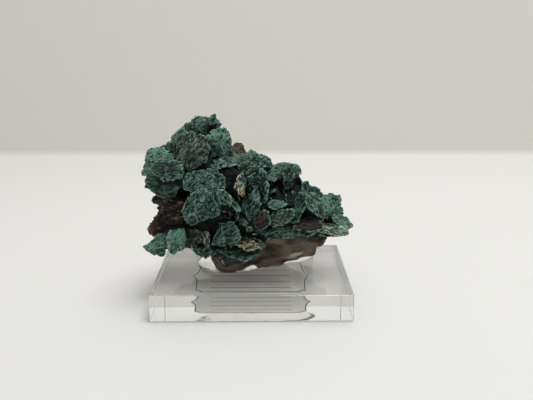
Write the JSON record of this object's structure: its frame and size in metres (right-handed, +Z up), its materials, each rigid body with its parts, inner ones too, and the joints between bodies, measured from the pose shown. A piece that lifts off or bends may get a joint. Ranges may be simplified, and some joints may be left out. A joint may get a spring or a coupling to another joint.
{
  "type": "malachite specimen on a display block",
  "caption": "Bladed malachite rosettes on brown matrix rock, held by clear gel on a clear rectangular display block with a label under it.",
  "frame": {"origin": "middle of the label's underside, on the surface that the specimen's block stands on", "axes": "+X to the viewer's right along the block's long side, +Y away from the viewer, +Z up"},
  "size_m": [0.0559, 0.0376, 0.0489],
  "materials": {
    "display_block": "polished cast acrylic",
    "label": "matt translucent label stock with a thin dark printed border",
    "gel_adhesive": "clear glossy set gel",
    "matrix_rock": "rough brown iron-stained rock",
    "malachite": "matt to silky dark green, finely ridged crystals"
  },
  "bodies": {
    "root": {"display_block": "display_block", "label": "label", "gel_adhesive": "gel_adhesive", "matrix_rock": "matrix_rock", "malachite": "malachite"}
  },
  "joints": []
}
